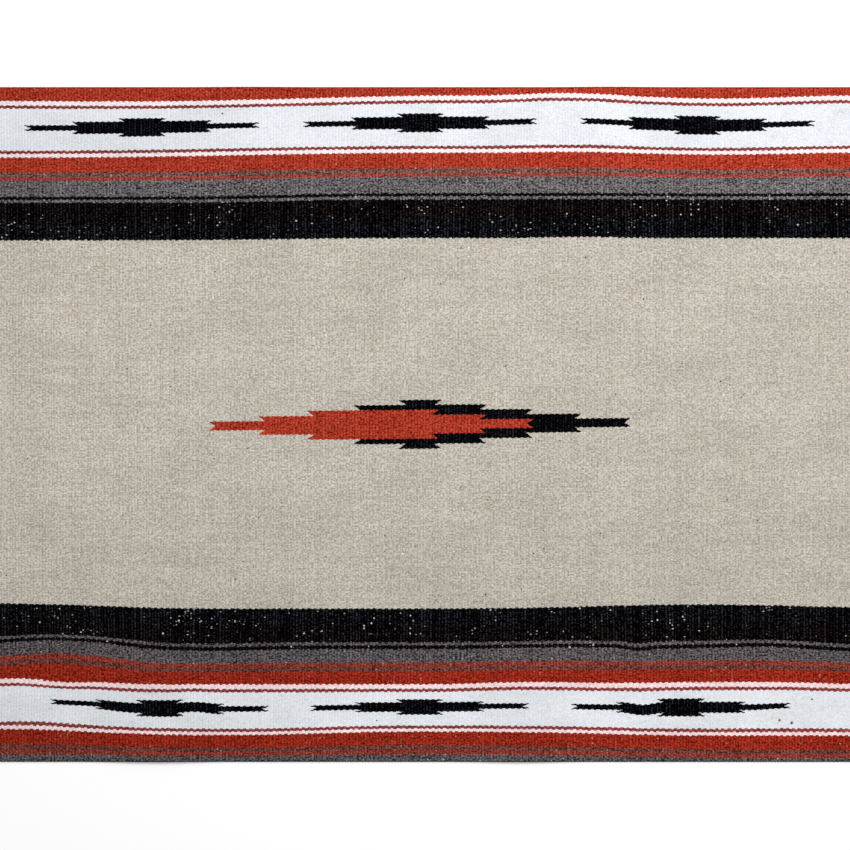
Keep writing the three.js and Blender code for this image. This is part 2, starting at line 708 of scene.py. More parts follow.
FAR_LOZENGE = (Step(3.9, 155, 164), Step(8.7, 90, 97), Step(13.2, 25, 33))
NEAR_LOZENGE = (Step(3.5, 144, 153), Step(6.6, 81, 90), Step(10.7, 24, 33))
DIAMOND = (
    Step(6.3, 286, 294),
    Step(13.0, 216, 225),
    Step(20.3, 148, 157),
    Step(27.3, 83, 92),
    Step(34.3, 20, 30),
)
DIAMOND_RED_END = (Step(6.3, 149, 158), Step(13.0, 82, 91), Step(20.3, 15, 25))


@dataclass(frozen=True)
class Placing:
    """Where a lozenge lies on the straightened cloth.

    Args:
        y_mm: its middle line, from the cloth's.
        pitch_mm: the distance to the next one along the row, or 0 for a single one.
        copies: how many there are.
        slope: how much its middle line climbs towards +X.
        spread_mm: how much further out the two outermost ones lie.
    """

    y_mm: float
    pitch_mm: float = 0.0
    copies: int = 1
    slope: float = 0.0
    spread_mm: float = 0.0


FAR_ROW = Placing(y_mm=422.5, pitch_mm=389, copies=5)
NEAR_ROW = Placing(y_mm=-395.5, pitch_mm=365, copies=5, spread_mm=48)
CENTRE = Placing(y_mm=0.3, slope=0.0085)


def lozenge_group(loom: Loom) -> bpy.types.NodeTree:
    """The lozenges: black where a place lies inside an outline, red in the left part of the middle one.

    An outline is a curve of half length against the distance from the middle line. In each step it stays at
    the root and runs out to the prongs' tips near the step's outer edge. The outlines are toothed by the
    ribs' parity and frayed by the wool's fibre.

    Args:
        loom: the count of the cloth.

    Returns:
        A group that turns a place in ribs and yarns into black and red masks.
    """
    group = Group("lozenges", {"Weave": Kind.PLACE} | values("Parity", "Fray"), values("Black", "Red"))
    bench = group.bench
    tooth_mm = 0.8
    fray_mm = 1.6
    prong_mm = 1.0
    corner_mm = 0.02
    headroom = 1.1
    ribs, yarns = bench.parts(group.given["Weave"])
    rib_mm, yarn_mm = loom.cell_mm
    ragged = bench.times(bench.less(group.given["Fray"], 0.5), fray_mm)
    x = bench.add(bench.times(bench.less(ribs, loom.ribs / 2), rib_mm), ragged)
    toothed = bench.times(bench.less(group.given["Parity"], 0.5), tooth_mm)
    y = bench.add(bench.times(bench.less(yarns, loom.yarns / 2), yarn_mm), toothed)

    def half_length(steps: tuple[Step, ...], distance: Socket) -> Socket:
        """Reads an outline.

        Args:
            steps: the outline's steps, from the middle line outwards.
            distance: how far from the middle line to read it, in millimetres.

        Returns:
            The half length there, in millimetres, which is 0 past the last step.
        """
        tall, wide = steps[-1].rise_mm * headroom, max(step.tip_mm for step in steps)
        curve = bench.node("FloatCurve", {"Value": bench.times(distance, 1 / tall)})
        points = curve.mapping.curves[0].points
        points[0].location = (0.0, steps[0].root_mm / wide)
        points[-1].location = (1.0, 0.0)
        below = 0.0
        for step in steps:
            points.new((below + corner_mm) / tall, step.root_mm / wide)
            points.new((step.rise_mm - prong_mm) / tall, step.tip_mm / wide)
            points.new((step.rise_mm - corner_mm) / tall, step.tip_mm / wide)
            below = step.rise_mm
        points.new((below + corner_mm) / tall, 0.0)
        for point in points:
            point.handle_type = "VECTOR"
        curve.mapping.update()
        return bench.times(curve.outputs[0], wide)

    def spot(placing: Placing) -> tuple[Socket, Socket, Value]:
        """Measures a place against the lozenges of a row.

        Args:
            placing: where the row lies.

        Returns:
            The distances from the nearest centre along X and from the middle line, and 1 inside the row.
        """
        line = bench.add(bench.times(x, placing.slope), placing.y_mm)
        distance = bench.math("ABSOLUTE", bench.less(y, line))
        if not placing.pitch_mm:
            return x, distance, 1.0
        size = bench.math("ABSOLUTE", x)
        outer_from = (placing.copies / 2 - 1) * placing.pitch_mm
        past = bench.math("MAXIMUM", bench.less(size, outer_from + placing.spread_mm), 0.0)
        closed = bench.add(bench.math("MINIMUM", size, outer_from), past)
        offset = bench.math("WRAP", closed, placing.pitch_mm / 2, -placing.pitch_mm / 2)
        row_end = placing.copies * placing.pitch_mm / 2
        return offset, distance, bench.math("LESS_THAN", closed, row_end)

    def filled(placing: Placing, steps: tuple[Step, ...]) -> Socket:
        """A mask that is 1 inside the lozenges of a row.

        Args:
            placing: where the row lies.
            steps: the lozenges' outline.

        Returns:
            The mask.
        """
        offset, distance, inside = spot(placing)
        within = bench.math("GREATER_THAN", half_length(steps, distance), bench.math("ABSOLUTE", offset))
        return bench.times(within, inside)

    rows = bench.math("MAXIMUM", filled(FAR_ROW, FAR_LOZENGE), filled(NEAR_ROW, NEAR_LOZENGE))
    diamond = filled(CENTRE, DIAMOND)
    offset, distance, _ = spot(CENTRE)
    before_end = bench.math("LESS_THAN", offset, half_length(DIAMOND_RED_END, distance))
    low_steps = bench.math("LESS_THAN", distance, DIAMOND_RED_END[-1].rise_mm)
    red = bench.times(diamond, bench.times(before_end, low_steps))
    return group.give(Black=bench.math("MAXIMUM", rows, diamond), Red=red)


@dataclass(frozen=True)
class Patch:
    """A layer of soft noise over the cloth.

    Args:
        along_mm: the size of its cells along the stripes.
        across_mm: the size of its cells across them.
        detail: how many finer layers it has.
        roughness: how strong the finer layers are.
        weight: how much it counts for in the heather.
    """

    along_mm: float
    across_mm: float
    detail: float
    roughness: float = 0.5
    weight: float = 1.0


FINE = Patch(2.9, 2.3, detail=0.6, roughness=0.6, weight=2.7)
COARSE = Patch(15, 11, detail=2.0, roughness=0.9, weight=0.25)
BARS = Patch(140, 6, detail=1.0, weight=0.3)
BLOTCH = Patch(120, 60, detail=3.0, roughness=0.6)
SMUDGE = Patch(45, 17, detail=2.0, roughness=0.6)
CROWD = Patch(70, 45, detail=1.0)


def heather_group(loom: Loom) -> bpy.types.NodeTree:
    """The unevenness of handspun wool, in millimetres of cloth.

    Share is how much bright fibre shows, a smooth step of a sum: fine noise, coarser noise, noise drawn out
    into bars along the stripes, a tone for each bead, a slow strand along each yarn and a tone for each rib,
    each about 0 and with its own weight. A few beads are pale flecks on their crown. Pit is 1 for the few
    beads whose corner gaps get painted shade. Blotch is broad and faint, and smudge is smaller and drawn
    out along the stripes. A nep is a round spot about the centre of a random cell, with more of them where a
    broad noise is high. Burr is 1 for the cells whose nep is a dark burr in a pale wool.

    Args:
        loom: the count of the cloth.

    Returns:
        A group that turns a place and its bead's numbers into those values, each from 0 to 1.
    """
    group = Group(
        "heather",
        {"Weave": Kind.PLACE} | values("Rib", "Yarn", "Crown"),
        values("Share", "Pit", "Fibre", "Rib Tone", "Blotch", "Smudge", "Nep", "Nep Light", "Burr"),
    )
    bench = group.bench
    tone_weight, strand_weight, rib_weight, fleck_weight = 0.55, 0.3, 0.12, 0.5
    nep_crowding, fleck_crowding = 0.5, 0.16
    nep_reach, nep_skew = 0.26, 8.0
    strand_mm, strands_apart = 90, 1.37
    nep_cell_mm = 3.6
    ribs, yarns = bench.parts(group.given["Weave"])
    rib_mm, yarn_mm = loom.cell_mm
    x, y = bench.times(ribs, rib_mm), bench.times(yarns, yarn_mm)
    rib, yarn = group.given["Rib"], group.given["Yarn"]

    def cells(along_mm: float, across_mm: float) -> Socket:
        """The place counted in cells of a size."""
        return bench.pair(bench.times(x, 1 / along_mm), bench.times(y, 1 / across_mm))

    def layer(patch: Patch) -> Socket:
        """A patch's noise."""
        return bench.noise(cells(patch.along_mm, patch.across_mm), patch.detail, patch.roughness)

    def about(noise: Socket, weight: float) -> Socket:
        """A noise moved to lie about 0 and given a weight."""
        return bench.times(bench.less(noise, 0.5), weight)

    fine, coarse, bars = (layer(patch) for patch in (FINE, COARSE, BARS))
    tone = bench.chance(bench.pair(rib, yarn))
    strand = bench.noise(bench.pair(bench.times(x, 1 / strand_mm), bench.times(yarn, strands_apart)), 1.0)
    rib_tone = bench.chance(bench.pair(rib, 0.5))
    broad = bench.add(about(coarse, COARSE.weight), about(bars, BARS.weight))
    by_yarn = bench.add(about(tone, tone_weight), about(strand, strand_weight))
    share = bench.add(
        bench.add(about(fine, FINE.weight), broad), bench.add(by_yarn, about(rib_tone, rib_weight))
    )
    luck = bench.chance(bench.pair(yarn, rib))
    centre = bench.ramp(group.given["Crown"], low=0.35, high=0.85)
    fleck = bench.times(bench.ramp(luck, low=0.93, high=0.96), bench.times(centre, fleck_weight))
    spots = bench.node(
        "TexVoronoi",
        {"Scale": 1.0, "Vector": cells(nep_cell_mm, nep_cell_mm)},
        voronoi_dimensions="2D",
        feature="F1",
    )
    lots = bench.node("SeparateColor", {0: spots.outputs["Color"]}).outputs
    crowd = layer(CROWD)
    chosen = bench.ramp(bench.add(lots[0], about(crowd, nep_crowding)), low=0.93, high=0.95)
    lucky = bench.ramp(bench.add(luck, about(crowd, fleck_crowding)), low=0.98, high=0.985)
    bright_fleck = bench.times(lucky, centre)
    reach = bench.times(bench.math("POWER", lots[1], nep_skew), nep_reach)
    nep = bench.ramp(bench.less(spots.outputs["Distance"], reach), low=0.02, high=0.2, start=1.0, end=0.0)
    return group.give(
        Share=bench.ramp(bench.add(share, fleck), low=-0.93, high=0.97),
        Pit=bench.ramp(luck, low=0.12, high=0.03),
        Fibre=fine,
        Rib_Tone=rib_tone,
        Blotch=layer(BLOTCH),
        Smudge=layer(SMUDGE),
        Nep=bench.math("MAXIMUM", bench.times(nep, chosen), bright_fleck),
        Nep_Light=lots[1],
        Burr=bench.math("GREATER_THAN", lots[2], 0.4),
    )


@dataclass(frozen=True)
class Spot:
    """A small dark spot on the cloth.

    Args:
        x_mm: its place along the web, from the middle.
        y_mm: its place across the web, from the middle.
        radius_mm: its radius.
    """

    x_mm: float
    y_mm: float
    radius_mm: float


SPOTS = (
    Spot(503, -412, 1.3),
    Spot(520, -415, 1.6),
    Spot(548, -386, 1.2),
    Spot(-277, 441, 1.3),
    Spot(-60, -414, 1.0),
)


def weathering_group(loom: Loom) -> bpy.types.NodeTree:
    """How the wool has faded and soiled, and the painted shade on the field's near side.

    The borders deepen towards -X, and the field is painted darker towards its near side as shade. Spot is 1
    out to the core of a spot and falls smoothly to 0 at its rim.

    Args:
        loom: the count of the cloth.

    Returns:
        A group that turns a place in ribs and yarns into a factor for the colour, from fading and painted
        shade, and a mask of spots.
    """
    group = Group("weathering", {"Weave": Kind.PLACE}, values("Fade", "Spot"))
    bench = group.bench
    core, rim = 0.6, 1.5  # shares of a spot's radius
    ribs, yarns = bench.parts(group.given["Weave"])
    x = bench.less(bench.times(ribs, 1 / loom.ribs), 0.5)
    y = bench.less(bench.times(yarns, 1 / loom.yarns), 0.5)
    in_border = bench.ramp(bench.math("ABSOLUTE", y), low=0.26, high=0.3)
    # Painted shade: the field is darker towards its near side.
    field = bench.ramp(y, low=-0.28, high=0.03, start=0.945, end=1.0)
    border = bench.ramp(x, low=-0.32, high=0.2, start=0.88, end=1.06)
    place = bench.pair(bench.times(x, 1000 * loom.length), bench.times(y, 1000 * loom.width))
    spotted: Value = 0.0
    for spot in SPOTS:
        centre = (spot.x_mm, spot.y_mm, 0.0)
        distance = bench.node("VectorMath", {0: place, 1: centre}, operation="DISTANCE").outputs["Value"]
        inside = bench.ramp(
            distance, low=core * spot.radius_mm, high=rim * spot.radius_mm, start=1.0, end=0.0
        )
        spotted = bench.math("MAXIMUM", spotted, inside)
    return group.give(Fade=bench.pick(in_border, field, border), Spot=spotted)


# ---------------------------------------------------------------- materials


NEP_WOOL = linear((232, 231, 230))
BURR_WOOL = linear((92, 82, 74))
SPOT_DYE = linear((96, 66, 66))
CLEAN = linear((255, 255, 255))
SOILED = linear((247, 248, 235))


@dataclass(frozen=True)
class WoolFinish:
    """How wool takes light.

    Args:
        specular: its specular level.
        sheen: the weight of its nap's sheen.
        sheen_roughness: how soft that sheen is.
        bump_mm: the height of a bead.
    """

    specular: float = 0.02
    sheen: float = 0.0
    sheen_roughness: float = 0.6
    bump_mm: float = 0.35

    def shader(self, bench: Bench, colour: Socket, height: Socket, roughness: Socket) -> None:
        """Adds the bump, the shader and the output.

        Args:
            bench: the material's bench.
            colour: the wool's colour.
            height: the height over the surface, 0 to 1.
            roughness: the roughness over the surface.
        """
        bump = bench.node("Bump", {"Strength": 1.0, "Distance": self.bump_mm / 1000, "Height": height})
        bench.surface(
            {
                "Base Color": colour,
                "Roughness": roughness,
                "Normal": bump.outputs[0],
                "Specular IOR Level": self.specular,
                "Sheen Weight": self.sheen,
                "Sheen Roughness": self.sheen_roughness,
            }
        )


def new_material(name: str) -> tuple[bpy.types.Material, Bench]:
    """An empty node material and its bench.

    Args:
        name: the material's name.

    Returns:
        The material and the bench.
    """
    material = bpy.data.materials.new(name)
    material.use_nodes = True
    material.node_tree.nodes.clear()
    return material, Bench(material.node_tree)


@dataclass
class WoolShop:
    """The shared groups, and the materials made with them.

    Args:
        loom: the count of the cloth.
        wander: how many yarns' width the beads' edges wander over.
        twist_per_metre: the turns in a metre of cord.
        plies: how many plies a cord shows.
    """

    loom: Loom
    wander: float = 1.8
    twist_per_metre: float = 150.0
    plies: float = 2.0

    def __post_init__(self) -> None:
        """Builds the shared groups."""
        self.beads = bead_group()
        self.stripes = stripe_group(self.loom)
        self.lozenges = lozenge_group(self.loom)
        self.heather = heather_group(self.loom)
        self.weathering = weathering_group(self.loom)

    def carded(self, bench: Bench, stripes: bpy.types.Node, heather: bpy.types.Node, highlight_and_shade: Socket) -> Socket:
        """The wool's colour before the rest of the painted shade: its fibres mixed by their share, with a
        painted highlight on the crests and painted shade in the furrows, then its neps.

        Args:
            bench: the material's bench.
            stripes: the stripe group's node.
            heather: the heather group's node.
            highlight_and_shade: how much a dark wool's bright fibres are painted lighter on the crests and
            darker in the furrows at this place, about 1.

        Returns:
            The colour.
        """
        wool, found = stripes.outputs, heather.outputs
        base = self.mixed(bench, heather, highlight_and_shade, wool["Deep"], wool["Bright"], wool["Skew"])
        nep_skew = 2.2
        paleness = bench.math("POWER", found["Nep Light"], nep_skew)
        shown = bench.times(bench.times(found["Nep"], wool["Neps"]), paleness)
        is_burr = bench.times(found["Burr"], bench.ramp(bench.brightness(base), low=0.25, high=0.4))
        return bench.blend(shown, base, bench.blend(is_burr, NEP_WOOL, BURR_WOOL))

    def mixed(
        self, bench: Bench, heather: bpy.types.Node, highlight_and_shade: Socket, deep: Value, bright: Value, skew: Value
    ) -> Socket:
        """Two fibres mixed: the bright one's share to the power of the skew.

        Where the skew is above 1, the bright fibre's share also takes the painted highlight and shade: it is
        multiplied by that factor to the power of the skew less 1.

        Args:
            bench: the material's bench.
            heather: the heather group's node.
            highlight_and_shade: how much a dark wool's bright fibres are painted lighter on the crests and
            darker in the furrows at this place, about 1.
            deep: the darker fibre's colour.
            bright: the lighter fibre's colour.
            skew: the wool's skew.

        Returns:
            The colour.
        """
        bent = bench.math("POWER", heather.outputs["Share"], skew)
        darkness = bench.math("MAXIMUM", bench.less(skew, 1.0), 0.0)
        highlight_gain = bench.math("POWER", highlight_and_shade, darkness)
        return bench.blend(bench.math("MINIMUM", bench.times(bent, highlight_gain), 1.0), deep, bright)

    def worked(self, bench: Bench, heather: bpy.types.Node, highlight_and_shade: Socket, wool: Wool) -> Socket:
        """The colour of a wool worked into a lozenge.

        Args:
            bench: the material's bench.
            heather: the heather group's node.
            highlight_and_shade: how much a dark wool's bright fibres are painted lighter on the crests and
            darker in the furrows at this place, about 1.
            wool: the wool.

        Returns:
            The colour.
        """
        lot = wool.value
        return self.mixed(bench, heather, highlight_and_shade, linear(lot.deep), linear(lot.bright), lot.skew)

    def relief_shade(
        self, bench: Bench, arch: Socket, crown: Socket, pit: Socket, brightness: Socket
    ) -> Socket:
        """The painted shade that the beads' relief gives the wool.

        A bead darkens into the furrows and joints round it, a dark wool more than a pale one, and the palest
        wool lightens there a little. The corners of a pitted bead are darker still.

        Args:
            bench: the material's bench.
            arch: the bead's arch along the cloth.
            crown: its arch across the cloth.
            pit: the heather's pit.
            brightness: how bright the wool is.

        Returns:
            A factor for the colour.
        """
        hollow = bench.ramp(brightness, low=0.01, high=0.6, start=0.5, end=0.0)
        depth = bench.less(hollow, bench.ramp(brightness, low=0.5, high=0.75, start=0.0, end=0.06))
        furrow = bench.ramp(arch, low=0.0, high=0.8, start=1.0, end=0.0)
        joint = bench.ramp(crown, low=0.0, high=0.6, start=0.6, end=0.0)
        shade = bench.less(1.0, bench.times(depth, bench.math("MAXIMUM", furrow, joint)))
        corner = bench.times(
            bench.ramp(arch, low=0.1, high=1.0, start=0.6, end=0.0),
            bench.ramp(crown, low=0.2, high=1.0, start=1.0, end=0.0),
        )
        return bench.times(shade, bench.less(1.0, bench.times(corner, pit)))

    def aged(
        self, bench: Bench, weave: Socket, wool: Socket, smudge: Socket, brightness: Socket
    ) -> tuple[Socket, Socket]:
        """The marks of use (spots, a yellowish soil on the pale wools and fading), and painted shade on the
        field's near side and along the selvages.

        Args:
            bench: the material's bench.
            weave: the place in ribs and yarns.
            wool: the wool's colour.
            smudge: the heather's smudge.
            brightness: how bright the wool is.

        Returns:
            The soiled colour, and a factor for it from fading and painted shade.
        """
        weathering = bench.group(self.weathering, Weave=weave)
        most = bench.ramp(brightness, low=0.3, high=0.6, start=1.2, end=0.985)
        fade_and_shade = bench.math("MINIMUM", weathering.outputs["Fade"], most)
        # Painted shade: a dark line along the two selvages, at the cloth's edges.
        edge = bench.node("Attribute", attribute_name=SELVAGE_MARK)
        selvage_shade = bench.ramp(edge.outputs["Fac"], low=0.3, high=0.5, start=1.0, end=0.3)
        soil = bench.times(
            bench.ramp(smudge, low=0.48, high=0.75, start=0.0, end=0.35),
            bench.ramp(brightness, low=0.2, high=0.4),
        )
        spotted = bench.blend(weathering.outputs["Spot"], wool, SPOT_DYE)
        return bench.tinted(spotted, bench.blend(soil, CLEAN, SOILED)), bench.times(selvage_shade, fade_and_shade)

    def cloth(self) -> bpy.types.Material:
        """The web's material: beads of heathered wool in stripes, with lozenges worked in black and red.

        Returns:
            The material.
        """
        material, bench = new_material("serape_cloth")
        weave = bench.node("UVMap", uv_map=WEAVE_MAP).outputs[0]
        beads = bench.group(self.beads, Weave=weave, Wander=self.wander).outputs
        stripes = bench.group(self.stripes, Yarn=beads["Yarn"])
        arch, crown = beads["Arch"], beads["Crown"]
        heather = bench.group(
            self.heather, Weave=weave, Rib=beads["Rib"], Yarn=beads["Yarn"], Crown=bench.times(arch, crown)
        )
        found = heather.outputs
        lozenges = bench.group(self.lozenges, Weave=weave, Parity=beads["Parity"], Fray=found["Fibre"])
        # Painted highlight on each bead's crest and painted shade in its furrows, stronger on some ribs.
        rib_highlight_strength = bench.ramp(found["Rib Tone"], low=0.0, high=1.0, start=0.8, end=1.25)
        highlight_and_shade = bench.times(bench.ramp(arch, low=0.45, high=1.0, start=0.45, end=1.3), rib_highlight_strength)
        ground = self.carded(bench, stripes, heather, highlight_and_shade)
        black, red = (self.worked(bench, heather, highlight_and_shade, wool) for wool in (Wool.INK, Wool.RED))
        motif = bench.blend(lozenges.outputs["Red"], black, red)
        wool = bench.blend(lozenges.outputs["Black"], ground, motif)
        brightness = bench.brightness(wool)
        shade = self.relief_shade(bench, arch, crown, found["Pit"], brightness)
        soiled, wear = self.aged(bench, weave, wool, found["Smudge"], brightness)
        blotch = bench.ramp(found["Blotch"], low=0.3, high=0.7, start=0.95, end=1.04)
        colour = bench.scaled(soiled, bench.times(bench.times(shade, blotch), wear))
        swell = bench.times(bench.math("POWER", arch, 0.6), bench.math("POWER", crown, 0.5))
        height = bench.add(bench.times(swell, 0.75), bench.times(found["Fibre"], 0.25))
        roughness = bench.ramp(found["Fibre"], low=0.2, high=0.8, start=0.86, end=0.98)
        WoolFinish().shader(bench, colour, height, roughness)
        return material

    def yarn(self) -> bpy.types.Material:
        """The fringe's material: plied yarn in its stripe's wool, with the plies winding round it, a painted
        highlight on each ply's crest and painted shade in the grooves between the plies.

        Returns:
            The material.
        """
        material, bench = new_material("fringe_yarn")
        weave = bench.node("UVMap", uv_map=WEAVE_MAP).outputs[0]
        along, number = bench.parts(weave)
        stripes = bench.group(self.stripes, Yarn=bench.math("FLOOR", number))
        rib = bench.math("FLOOR", along)
        heather = bench.group(self.heather, Weave=weave, Rib=rib, Yarn=number, Crown=0.0)
        found = heather.outputs
        length, turn = bench.parts(bench.node("UVMap", uv_map=PLY_MAP).outputs[0])
        phase = bench.add(bench.times(turn, self.plies), bench.times(length, self.twist_per_metre))
        ply = bench.math("ABSOLUTE", bench.math("SINE", bench.times(phase, math.pi)))
        # Painted highlight on each ply's crest and painted shade in the grooves between the plies.
        wool = self.carded(bench, stripes, heather, bench.ramp(ply, low=0.0, high=1.0, start=0.6, end=1.3))
        groove_shade = bench.ramp(ply, low=0.0, high=0.6, start=0.62, end=1.0)
        swell = bench.math("POWER", ply, 0.6)
        height = bench.add(bench.times(swell, 0.7), bench.times(found["Share"], 0.3))
        roughness = bench.ramp(found["Fibre"], low=0.2, high=0.8, start=0.88, end=0.98)
        WoolFinish(sheen=0.02, bump_mm=0.25).shader(bench, bench.scaled(wool, groove_shade), height, roughness)
        return material


# ---------------------------------------------------------------- the web


@dataclass(frozen=True)
class Wave:
    """A slow wave over the cloth: height times the sine of 2 pi (y / across + x / along) + phase.

    Args:
        height: how far it reaches each way.
        across: its length across the cloth.
        along: its length along the cloth, negative where it leans the other way.
        phase: its phase at the middle.
    """

    height: float
    across: float
    along: float
    phase: float = 0.0

    def at(self, x: Array, y: Array) -> Array:
        """The wave at each point."""
        return self.height * np.sin(2 * np.pi * (y / self.across + x / self.along) + self.phase)


SIDLES = (
    Wave(height=0.0006, across=0.31, along=0.9),
    Wave(height=0.0004, across=0.143, along=-0.37, phase=1.3),
)


@dataclass
class SerapeWeb:
    """The woven web: a closed wall with a rib at every weft on both faces.

    Args:
        loom: the count of the cloth.
        thickness: from the underside to the ribs' crests.
        relief: how deep the furrows between ribs are.
        under_relief: how deep those of the underside are, as a share of that.
        selvage_drop: how much thinner the wall is at its two selvages.
        selvage_bulge: how far each rib swells out at the selvages.
        hem: the share of the half width from a selvage to the row just inside it.
        draw_in: how much each half of the width narrows towards the ends.
        draw_from: the distance from the middle where that begins.
        rib_steps: how many columns of faces a rib has.
        row_steps: how many rows of faces the upper face has, without the hems.
        under_rows: how many rows of points the lower face has.
        seed: the seed of the ribs' unevenness.
    """

    loom: Loom
    thickness: float = 0.0026
    relief: float = 0.0007
    under_relief: float = 0.8
    selvage_drop: float = 0.0008
    selvage_bulge: float = 0.0003
    hem: float = 0.005
    draw_in: float = 0.006
    draw_from: float = 0.62
    rib_steps: int = 4
    row_steps: int = 40
    under_rows: int = 8
    seed: int = SEED

    def rib_edges(self) -> Array:
        """The place of each furrow along X: an even count, each moved at random by up to an eighth of a rib.

        Returns:
            One place for each furrow, ends included.
        """
        loom = self.loom
        edges = np.linspace(-loom.length / 2, loom.length / 2, loom.ribs + 1)
        moves = np.random.default_rng(self.seed).uniform(-0.125, 0.125, loom.ribs + 1) * loom.rib_pitch
        moves[[0, -1]] = 0
        return edges + moves

    def rows(self) -> Array:
        """The rows' places: 1.3 s - 0.3 s^3 for an even s, closer towards the selvages, and the two hems.

        Returns:
            One place for each row, -1 at the near selvage to 1 at the far one.
        """
        s = np.linspace(-1, 1, self.row_steps + 1)
        rows = 1.3 * s - 0.3 * s**3
        return np.sort(np.append(rows, [self.hem - 1, 1 - self.hem]))

    def half_width(self, x: Array) -> Array:
        """Half the web's width: full to draw_from, then less by the square of the distance beyond it.

        Args:
            x: places along the web.

        Returns:
            The half width at each.
        """
        beyond = np.maximum(np.abs(x) - self.draw_from, 0) / (self.loom.length / 2 - self.draw_from)
        return self.loom.width / 2 - self.draw_in * beyond**2

    def sidle(self, x: Array, y: Array) -> Array:
        """How far the ribs stray sideways: the sum of two slow waves, gone at the ends of the web.

        Args:
            x: the points' places along the web.
            y: the points' places across it.

        Returns:
            The shift of each point along X.
        """
        first, second = (wave.at(x, y) for wave in SIDLES)
        return (first + second) * (1 - (x / (self.loom.length / 2)) ** 8)

    def build(self) -> bpy.types.Object:
        """Makes the web's mesh.

        The upper face is the ripples' height plus the thickness less the relief where a rib's arch is low; an
        arch is sqrt(1 - (2 t - 1)^2) over a rib. The lower face has the same furrows on every few rows.

        Returns:
            The web.
        """
        loom, steps = self.loom, self.rib_steps
        edges, rows = self.rib_edges(), self.rows()
        count = np.arange(loom.ribs * steps + 1) / steps
        columns = np.interp(count, np.arange(loom.ribs + 1), edges)
        arch = np.sqrt(np.maximum(1 - (2 * (count % 1) - 1) ** 2, 0))[:, None]
        straight, level = np.meshgrid(columns, rows, indexing="ij")
        outer = np.isclose(np.abs(level), 1)
        y = level * self.half_width(straight) + self.selvage_bulge * (arch - 1) * outer * level
        x = straight + self.sidle(straight, y)
        lift = total(RIPPLES, x, y)
        dip = self.relief * (1 - arch)
        top = lift + self.thickness - dip - self.selvage_drop * outer
        picked = np.unique(np.linspace(0, len(rows) - 1, self.under_rows).round().astype(int))
        under = (lift + dip * self.under_relief)[:, picked]
        upper = np.stack([x, y, top], axis=-1)
        lower = np.stack([x[:, picked], y[:, picked], under], axis=-1)

        level_y = level * loom.width / 2
        yarns = (level_y - total(STRAYS, x, level_y)) / loom.width * loom.yarns + loom.yarns / 2
        weave = np.stack([np.broadcast_to(count[:, None], x.shape), yarns], axis=-1)
        marks = np.where(outer, 1.0, 0.0)

        upper_ids = np.arange(x.size).reshape(x.shape)
        lower_ids = x.size + np.arange(under.size).reshape(under.shape)
        shell = Shell(
            points=np.concatenate([upper.reshape(-1, 3), lower.reshape(-1, 3)]),
            weave=np.concatenate([weave.reshape(-1, 2), weave[:, picked].reshape(-1, 2)]),
            marks=np.concatenate([marks.ravel(), marks[:, picked].ravel()]),
        )
        self._add_faces(shell, upper_ids, lower_ids, picked)
        return shell.build("serape_web")

    @staticmethod
    def _add_faces(shell: Shell, upper: Array, lower: Array, picked: Array) -> None:
        """Adds the two faces, the selvage walls and the end walls.

        Each takes a strip of the bake map, and an end wall is a row of many-sided faces, one for each row of
        the lower face.

        Args:
            shell: the shell to add to.
            upper: the upper face's vertex numbers.
            lower: the lower face's vertex numbers.
            picked: the rows of the upper face that the lower face repeats.
        """
        near_wall = np.stack([lower[:, 0], upper[:, 0]], axis=1)
        far_wall = np.stack([upper[:, -1], lower[:, -1]], axis=1)
        under_places = grid_places(lower.shape, (0.0, 0.01), (1.0, 0.48))
        shell.add(grid_faces(upper), grid_places(upper.shape, (0.0, 0.52), (1.0, 0.99)))
        shell.add(grid_faces(lower)[:, ::-1], under_places[:, ::-1])
        shell.add(grid_faces(near_wall), grid_places(near_wall.shape, (0.0, 0.485), (1.0, 0.495)))
        shell.add(grid_faces(far_wall), grid_places(far_wall.shape, (0.0, 0.505), (1.0, 0.515)))
        width, strip_height = 1 / (len(picked) - 1), 0.007
        for end, strip, order in ((0, 0.001, slice(None, None, -1)), (-1, 0.992, slice(None))):
            for number, (first, last) in enumerate(zip(picked[:-1], picked[1:])):
                over = upper[end, first : last + 1]
                ring = np.concatenate([over, [lower[end, number + 1], lower[end, number]]])
                left = number * width
                u = np.concatenate([left + width * np.linspace(0, 1, len(over)), [left + width, left]])
                v = np.concatenate([np.full(len(over), strip + strip_height), [strip, strip]])
                shell.add(ring[None, ::-1][:, order], np.stack([u, v], axis=-1)[::-1][order])


# ---------------------------------------------------------------- the fringe


class Side(Enum):
    """The web's two ends, with the direction that the fringe hangs out in."""

    LEFT = -1
    RIGHT = 1


